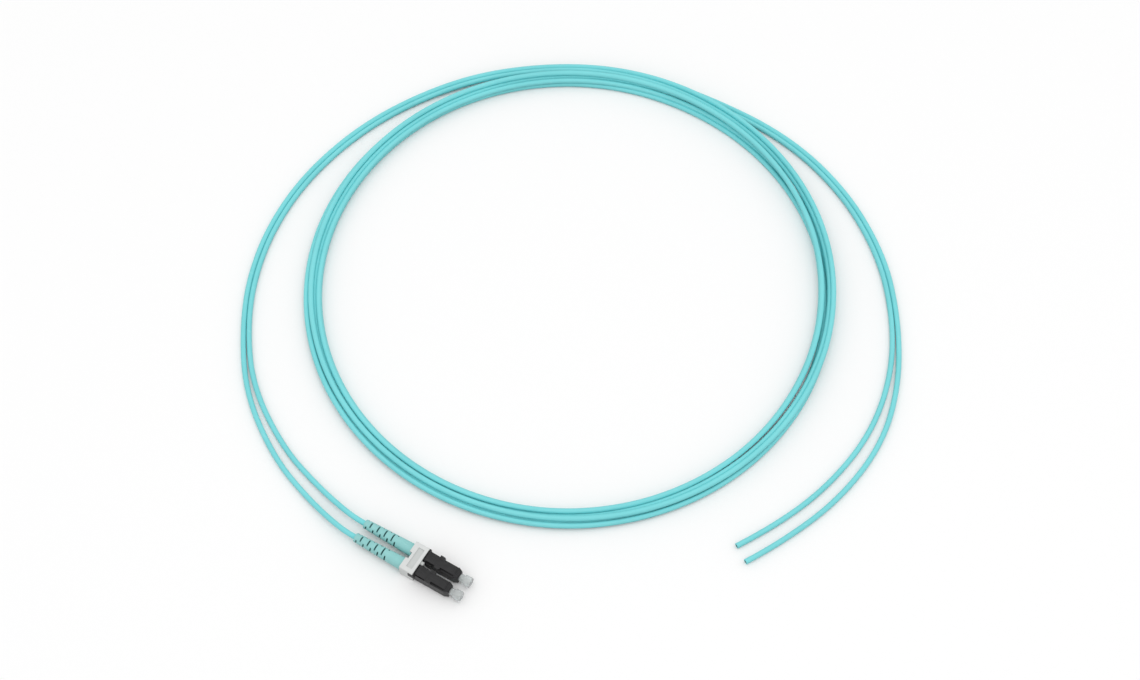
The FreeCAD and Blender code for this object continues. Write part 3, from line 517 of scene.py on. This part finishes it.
def bodyRings(settings):
    # The outside from the rear to the nose. No point of the deck's own two rings, the third and the fourth,
    # is above the deck's level.
    width, height = settings["halfWidth"], settings["halfHeight"]
    bevel = settings["noseBevel"]
    sections = [
        (settings["rear"], width, height),
        (settings["deckRear"], width, height),
        (settings["deckRear"], width, height),
        (settings["deckFront"], width, height),
        (settings["deckFront"], width, height),
        (settings["taperStart"], width, height),
        (settings["front"] - bevel, settings["noseHalf"] + settings["noseFlare"], height),
        (settings["front"], settings["noseHalf"], height - bevel),
    ]
    body = sectionRings([
        (x, 0, 0, halfWidth, halfHeight, settings["corner"]) for x, halfWidth, halfHeight in sections
    ], settings["columns"])
    body[2:4, :, 2] = np.minimum(body[2:4, :, 2], settings["deckLevel"])
    return body


def housingGrids(settings, sign):
    # The outside, then the stepped bore back to the rear, and the first ring again. The lug and the fold
    # are rounded boxes of their own, sunk into the wall.
    body = bodyRings(settings)
    window, cavity = settings["window"], settings["cavity"]
    bore = roundRings([
        (settings["front"], settings["noseBore"]), (settings["noseFloor"], settings["noseBore"]),
        (settings["noseFloor"], window), (settings["cavityFront"], window),
        (settings["cavityFront"], cavity), (settings["postStep"], cavity),
        (settings["postStep"], settings["rearBore"]), (settings["rear"], settings["rearBore"]),
    ], settings["columns"])
    lugInside = settings["halfWidth"] - settings["lugRoot"]
    lugMiddle = (lugInside + settings["halfWidth"] + settings["lugReach"]) / 2
    lugHalf = (settings["halfWidth"] + settings["lugReach"] - lugInside) / 2
    lug = sectionRings(block(
        settings["lugRear"], settings["lugFront"], sign * lugMiddle, settings["lugRaise"],
        lugHalf, settings["lugHalfHeight"], settings["lugCorner"],
    ), settings["smallColumns"])
    foldRadius = settings["foldRadius"]
    fold = sectionRings(block(
        settings["foldAt"] - foldRadius, settings["foldAt"] + foldRadius,
        0, settings["halfHeight"] - settings["foldSink"],
        settings["foldHalfLength"], foldRadius, foldRadius * settings["foldRoundness"],
    ), settings["smallColumns"])
    return [np.vstack([body, bore, body[:1]]), lug, fold]


for side, sign in sides.items():
    grids = housingGrids(housing, sign)
    piece = surfacePiece(f"plugBody_{side}", grids, side, "blackHousing", bevel=housing["edge"])
    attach(piece, "base")
    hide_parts(f"plug_housing_{side}")
print("housings made")

# Duplex clip: the CAD piece's own surface with its edges rounded, its groove wider, and painted shade on the
# groove's floor.
clip = {
    "edge": 0.14, "weld": 0.001, "flatAngle": 1,
    "grooveFloor": 5.55, "grooveHalfSpan": 4.2, "grooveFront": 1.6, "grooveWiden": 0.8, "grooveMargin": 0.02,
}


def clipPiece(settings):
    # A copy of the CAD mesh, its loose triangles merged and the flat ones joined, so that the rounding has
    # clean edges. The groove's front wall is moved forward, and its floor is darkened towards the painted
    # slot shade.
    mesh = nodes["duplex_clip"].data.copy()
    mesh.name = "duplexClip"
    merged = bmesh.new()
    merged.from_mesh(mesh)
    bmesh.ops.remove_doubles(merged, verts=merged.verts, dist=settings["weld"] * mm)
    flat = math.radians(settings["flatAngle"])
    bmesh.ops.dissolve_limit(merged, angle_limit=flat, verts=merged.verts, edges=merged.edges)
    merged.to_mesh(mesh)
    merged.free()
    place = np.empty(3 * len(mesh.vertices))
    mesh.vertices.foreach_get("co", place)
    place = place.reshape(-1, 3) / mm
    x, y, z = place.T
    near = settings["grooveMargin"]
    groove = (np.abs(y) < settings["grooveHalfSpan"] + near) & (z > settings["grooveFloor"] - near)
    frontWall = groove & (np.abs(x - settings["grooveFront"]) < near)
    place[frontWall, 0] += settings["grooveWiden"]
    mesh.vertices.foreach_set("co", (place * mm).ravel())
    # Painted shade: the groove's floor points carry the full slot shade amount.
    layer = mesh.attributes.new("slotShadeAmount", "FLOAT", "POINT")
    layer.data.foreach_set("value", (groove & (z < settings["grooveFloor"] + near)).astype(np.float32))
    mesh.materials.clear()
    return finishedPiece("duplexClip", mesh, "paleClip", settings["edge"])


piece = clipPiece(clip)
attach(piece, "base")
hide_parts("duplex_clip")
print("clip made")

# Latch lever: an arm that climbs towards its free end, a finger pad and two locking ears.
latch = {
    "root": 16.14, "tip": 4.19, "level": 1.76, "thickness": 0.5, "incline": math.radians(4.5),
    "armHalf": 1.5, "padHalf": 1.95, "padFront": 8.3, "padTaper": 0.5, "tipRound": 0.2, "tipShare": 0.4,
    "earFront": 10.69, "earRear": 8.49, "earInside": 1.2, "earHalfSpan": 2.65, "earBevel": 0.45,
    "earRise": 0.16, "earSlope": 1.2, "earSlopeShare": 0.5, "earCorner": 0.12,
    "ridges": 5, "ridgePitch": 0.55, "ridgeHeight": 0.07, "firstRidge": 4.95, "ridgeSteps": 6,
    "corner": 0.12, "edge": 0.06, "columns": 16,
}


def latchMiddle(settings, x):
    # Height of the arm's middle: level + thickness / 2 + (root - x) * tan(incline).
    rise = (settings["root"] - x) * math.tan(settings["incline"])
    return settings["level"] + settings["thickness"] / 2 + rise


def armRings(settings):
    # The arm from the pad's rear to the root, each ring round the middle at its place. The pad's top carries
    # low grip ridges: ridge height * (1 - cos) / 2 in x, added to the upper half of each ring.
    def ring(x, half, thickness=settings["thickness"]):
        corner = min(settings["corner"], thickness / 2)
        return (x, 0, latchMiddle(settings, x), half, thickness / 2, corner)

    tip, padHalf, padFront = settings["tip"], settings["padHalf"], settings["padFront"]
    firstRidge = settings["firstRidge"]
    lastRidge = firstRidge + settings["ridges"] * settings["ridgePitch"]
    stripes = np.linspace(firstRidge, lastRidge, settings["ridgeSteps"] * settings["ridges"] + 1)
    arm = sectionRings(closed([
        ring(tip, padHalf, settings["thickness"] - 2 * settings["tipRound"] * settings["tipShare"]),
        ring(tip + settings["tipRound"], padHalf),
        *[ring(x, padHalf) for x in stripes],
        ring(padFront, padHalf),
        ring(padFront + settings["padTaper"], settings["armHalf"]),
        ring(settings["root"], settings["armHalf"]),
    ]), settings["columns"])
    x = arm[:, :, 0]
    wave = (1 - np.cos((x - firstRidge) * 2 * np.pi / settings["ridgePitch"])) / 2
    ridged = (x >= firstRidge) & (x <= lastRidge) & (arm[:, :, 2] > latchMiddle(settings, x))
    arm[:, :, 2] += np.where(ridged, wave * settings["ridgeHeight"], 0)
    return arm


def earRings(settings, hand):
    # A locking ear: from inside the arm out to its reach, its top above the arm's by the rise. Over the slope
    # at the front the rise falls, and over the bevel the reach too.
    inside, reach = settings["earInside"], settings["earHalfSpan"]
    front, bevel, rise = settings["earFront"], settings["earBevel"], settings["earRise"]

    def ring(x, outside, lift):
        top = latchMiddle(settings, x) + settings["thickness"] / 2 + lift
        bottom = latchMiddle(settings, x) - settings["thickness"] / 2
        middle = (x, hand * (inside + outside) / 2, (top + bottom) / 2)
        return (*middle, (outside - inside) / 2, (top - bottom) / 2, settings["earCorner"])

    return sectionRings(closed([
        ring(settings["earRear"], reach, rise),
        ring(front - settings["earSlope"], reach, rise),
        ring(front - bevel, reach, rise * settings["earSlopeShare"]),
        ring(front, reach - bevel, 0),
    ]), settings["columns"])


for side in sides:
    grids = [armRings(latch), earRings(latch, 1), earRings(latch, -1)]
    piece = surfacePiece(f"latchArm_{side}", grids, side, "blackLatch", bevel=latch["edge"])
    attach(piece, f"latch_{side}")
    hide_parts(f"latch_lever_{side}")
print("latches made")

# Dust cap: a neck in the nose, a round head with a sunk face, and a blind bore over the ferrule.
cap = {
    "rear": 17.0, "shoulder": 19.7, "front": 22.5, "neck": 1.4, "neckRound": 0.08,
    "head": 1.9, "shoulderRound": 0.12, "roundSteps": 3, "rim": 0.35, "rimSteps": 6,
    "bore": 0.6745, "boreEnd": 22.0, "columns": 48,
    "faceRadius": 1.2, "faceSink": 0.12, "faceSteps": ((0, 0.1), (0.3, 0.03), (1, -0.06)),
}


def capGrid(settings):
    # Profile of the turned cap from the blind end of its bore, back to the rear, out and forward to the sunk
    # face. Each of the face's steps is a share of the sink, and how far outside the face's radius it lies.
    rear, front = settings["rear"], settings["front"]
    shoulder, neck, head = settings["shoulder"], settings["neck"], settings["head"]
    steps = settings["roundSteps"]
    sink = settings["faceSink"]
    face = [(front - sink * share, settings["faceRadius"] + away) for share, away in settings["faceSteps"]]
    return roundRings([
        (settings["boreEnd"], 0), (settings["boreEnd"], settings["bore"]), (rear, settings["bore"]),
        *quarterRound(rear, neck, settings["neckRound"], True, steps),
        (shoulder, neck),
        *quarterRound(shoulder, head, settings["shoulderRound"], True, steps),
        *quarterRound(front, head, settings["rim"], False, settings["rimSteps"]),
        *face,
        (front - sink, 0),
    ], settings["columns"])


for side in sides:
    piece = surfacePiece(f"endCap_{side}", [capGrid(cap)], side, "clearCap")
    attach(piece, f"cap_{side}")
    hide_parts(f"dust_cap_{side}")
print("caps made")

# Spring behind the ferrule's flange, its rear on the crimp post.
spring = {
    "rear": 7.41, "length": 4.98, "wire": 0.3, "radius": 1.075, "turns": 5.0, "travel": 1.5,
    "stationsPerTurn": 24, "columns": 10,
}


def springGrid(settings):
    # Round wire on a helix. At the angle a the wire's middle is (start + pitch * a / a full turn,
    # radius * (-sin a, cos a)), and at the angle t round the wire the skin lies half a wire further, by cos t
    # outwards and by sin t towards -X. The first and the last ring shrink to a point and close the ends.
    wire = settings["wire"] / 2
    share = np.linspace(0, 1, round(settings["turns"] * settings["stationsPerTurn"]) + 1)
    share = np.concatenate([share[:1], share, share[-1:]])[:, None]
    skin = np.full(share.shape, wire)
    skin[[0, -1]] = 0
    a = share * settings["turns"] * 2 * np.pi
    t = np.arange(settings["columns"]) * 2 * np.pi / settings["columns"]
    x = settings["rear"] + wire + share * (settings["length"] - 2 * wire) - skin * np.sin(t)
    out = settings["radius"] + skin * np.cos(t)
    return np.stack([x, -out * np.sin(a), out * np.cos(a)], axis=2)


for side, sign in sides.items():
    piece = surfacePiece(f"floatSpring_{side}", [springGrid(spring)], side, "springWire")
    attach(piece, "base")
    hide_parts(f"ferrule_spring_{side}")
    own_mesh(piece)
print("springs made")

# The two jackets. Each starts inside its boot, at the front. The coil starts at this angle, in degrees.
jacket = {
    "diameter": 2.0,
    "front": -6.3,
    "pairPitch": 2.05,
    "coilCentre": (-11.7, 127.3),
    "coilStart": 121.05,
    "coilPointsPerTurn": 24,
    "rowsPerTurn": 12,
    "aroundSteps": 8,
    "alongSteps": 8,
}

# Control points from the boots on: each jacket's own leg, then the line between the two that both follow, to
# the coil. From the coil on again the line between the two, then each jacket's own leg to its cut end. They
# were set one by one, and some then moved by up to 3 mm in a fit to the photograph.
leadLegs = {
    "left": [
        (-19.0, 3.125, 3.0), (-29.0, 3.125, 3.0), (-47.1, 7.5, 1.2), (-66.7, 14.1, 1.0), (-90.5, 29.2, 1.0),
    ],
    "right": [
        (-19.0, -3.125, 3.0), (-29.0, -3.125, 3.0), (-46.5, 1.3, 1.2), (-67.1, 8.9, 1.0), (-91.4, 25.7, 1.0),
    ],
}
leadPair = [
    (-107.4, 48.1, 1.0), (-118.3, 68.1, 1.0), (-125.2, 91.7, 1.0), (-126.6, 119.0, 1.0),
    (-120.4, 149.5, 1.0), (-106.9, 176.6, 1.2), (-89.4, 197.0, 2.7),
]
tailPair = [(25.5, 231.4, 1.0), (58.1, 220.3, 1.0), (84.2, 201.5, 1.0), (101.3, 179.8, 1.0)]
tailLegs = {
    "left": [
        (111.5, 156.5, 1.0), (116.3, 130.6, 1.0), (112.9, 103.6, 1.0), (104.2, 79.9, 1.0), (95.7, 65.1, 1.0),
    ],
    "right": [
        (115.4, 155.4, 1.0), (121.9, 128.9, 1.0), (118.7, 100.1, 1.0), (108.5, 73.9, 1.0), (101.4, 61.3, 1.0),
    ],
}

# Where the jackets lie in the coil, a row for each twelfth of a turn: radius and level of the right one, then
# of the left one. A scratch program worked them out, from radii read off the photograph, so that the jackets
# clear each other, and four rows were then changed by hand.
pile = [
    (103.25, 2.70, 101.27, 3.11), (102.44, 3.77, 100.65, 2.83), (101.41, 4.40, 100.23, 2.77),
    (100.71, 4.55, 99.41, 3.03), (100.16, 4.13, 98.45, 3.07), (99.51, 3.47, 97.67, 2.61),
    (98.81, 2.98, 97.33, 1.61), (98.41, 2.88, 97.20, 1.13), (98.38, 3.14, 97.22, 1.40),
    (98.60, 3.56, 97.23, 2.10), (98.86, 3.89, 97.22, 2.66), (98.92, 4.21, 97.40, 2.83),
    (98.62, 4.67, 98.09, 2.71), (97.86, 5.03, 98.74, 3.30), (96.98, 5.14, 97.75, 3.33),
    (96.27, 4.60, 96.09, 2.61), (95.78, 3.63, 95.20, 1.66), (95.62, 3.08, 94.91, 1.12),
    (95.81, 2.94, 94.92, 1.00), (96.08, 2.89, 95.05, 1.00), (95.96, 3.00, 95.23, 1.00),
    (95.54, 3.17, 95.55, 1.00), (95.30, 3.23, 95.90, 1.04), (95.43, 3.26, 96.00, 1.04),
    (95.96, 3.10, 95.67, 1.02), (96.94, 2.01, 95.31, 1.00), (98.32, 1.09, 96.31, 1.00),
    (99.58, 1.00, 97.58, 1.00), (100.31, 1.12, 98.31, 1.00), (100.88, 1.40, 98.91, 1.00),
    (101.14, 1.72, 99.26, 1.00), (101.01, 2.06, 99.31, 1.00), (100.69, 2.38, 99.23, 1.00),
    (100.36, 2.39, 98.92, 1.00), (100.17, 1.86, 98.35, 1.00), (100.22, 1.17, 98.21, 1.00),
    (101.39, 1.00, 99.40, 1.00), (104.26, 1.00, 102.24, 1.00),
]


def besideLine(points, offset):
    # Each point moved sideways by the offset, square to the mean of the two runs that meet there.
    line = np.array(points)
    flat = line[:, :2]
    runs = np.diff(flat, axis=0)
    runs /= np.linalg.norm(runs, axis=1)[:, None]
    heading = np.vstack([runs[:1], runs[:-1] + runs[1:], runs[-1:]])
    heading /= np.linalg.norm(heading, axis=1)[:, None]
    outward = np.column_stack([-heading[:, 1], heading[:, 0], np.zeros(len(line))])
    return line + outward * offset


def coilLine(side):
    # Control points round the coil's centre: the angle falls evenly, and radius and level run straight
    # between the rows of the pile table. A quadratic spline passes inside its points, on a circle at
    # 3/4 + 1/4 cos(step) of their radius, so the points stand out by its inverse.
    rows = np.array(pile)
    columns = (0, 1) if side == "right" else (2, 3)
    perTurn = jacket["coilPointsPerTurn"]
    places = np.arange(len(rows))
    row = np.linspace(0, places[-1], places[-1] * perTurn // jacket["rowsPerTurn"] + 1)
    radius, level = (np.interp(row, places, rows[:, column]) for column in columns)
    angle = np.radians(jacket["coilStart"]) - row * 2 * np.pi / jacket["rowsPerTurn"]
    pull = 0.75 + 0.25 * math.cos(2 * math.pi / perTurn)
    centreX, centreY = jacket["coilCentre"]
    return np.column_stack([
        centreX + radius / pull * np.cos(angle),
        centreY + radius / pull * np.sin(angle),
        level,
    ])


def cordPoints(side):
    # All control points of one jacket in metres, from inside the boot to the cut end. Beside the shared line
    # it lies half the pair's pitch away from the other.
    sign = sides[side]
    offset = -sign * jacket["pairPitch"] / 2
    start = np.array([(jacket["front"], sign * plug["pitch"] / 2, plug["height"])])
    return np.vstack([
        start,
        np.array(leadLegs[side]),
        besideLine(leadPair, offset),
        coilLine(side),
        besideLine(tailPair, offset),
        np.array(tailLegs[side]),
    ]) * mm


def cordCurve(name, points, diameter):
    # A tube of the given diameter along one spline with these control points.
    data = bpy.data.curves.new(name, "CURVE")
    data.dimensions = "3D"
    data.bevel_depth = diameter / 2
    data.bevel_resolution = jacket["aroundSteps"]
    data.use_fill_caps = True
    data.resolution_u = jacket["alongSteps"]
    spline = data.splines.new("NURBS")
    spline.points.add(len(points) - 1)
    spline.points.foreach_set("co", np.column_stack([points, np.ones(len(points))]).ravel())
    spline.order_u = 3
    spline.use_endpoint_u = True
    curve = bpy.data.objects.new(name, data)
    bpy.context.collection.objects.link(curve)
    return curve


# Open end of each jacket. Depth counts from the end, and the skin stands this far outside the tube's.
cut = {
    "depth": 1.1, "overlap": 0.4, "skin": 0.006, "skinThickness": 0.01, "wall": 0.34, "floorHole": 0.46,
    "innerBevel": 0.05, "outerRound": 0.06, "outerRoundMiddle": 0.02, "columns": 32,
}


def cutEndPiece(name, end, inward, settings):
    # A ring profile turned about the cord's own line, from a floor round the core out to the skin. A point
    # (x, y, z) of the turned grid goes to end + x * inward + y * across + z * up.
    skin = jacket["diameter"] / 2 + settings["skin"]
    under = skin - settings["skinThickness"]
    inner = skin - settings["wall"]
    deep = settings["depth"]
    rear = deep + settings["overlap"]
    bevel, rounding, between = settings["innerBevel"], settings["outerRound"], settings["outerRoundMiddle"]
    grid = roundRings([
        (rear, under), (deep, settings["floorHole"]), (deep, inner), (bevel, inner), (0, inner + bevel),
        (0, skin - rounding), (between, skin - between), (rounding, skin), (rear, skin), (rear, under),
    ], settings["columns"])
    across = np.array([-inward[1], inward[0], 0])
    grid = grid @ np.array([inward, across, (0, 0, 1)]) + end - (0, 0, plug["height"])
    return surfacePiece(name, [grid], None, "aquaJacket")


for side, sign in sides.items():
    points = cordPoints(side)
    inward = points[-2] - points[-1]
    inward /= np.linalg.norm(inward)
    cutEnd = cutEndPiece(f"cutEnd_{side}", points[-1] / mm, inward, cut)
    points[-1] += inward * cut["depth"] * mm
    tube = cordCurve(f"jacketTube_{side}", points, jacket["diameter"] * mm)
    tube.data.materials.append(made["aquaJacket"])
    for piece in (tube, cutEnd):
        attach(piece, "base")
    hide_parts(f"jacket_lead_{side}", f"jacket_coil_{side}", f"jacket_tail_{side}")
print("jackets laid")
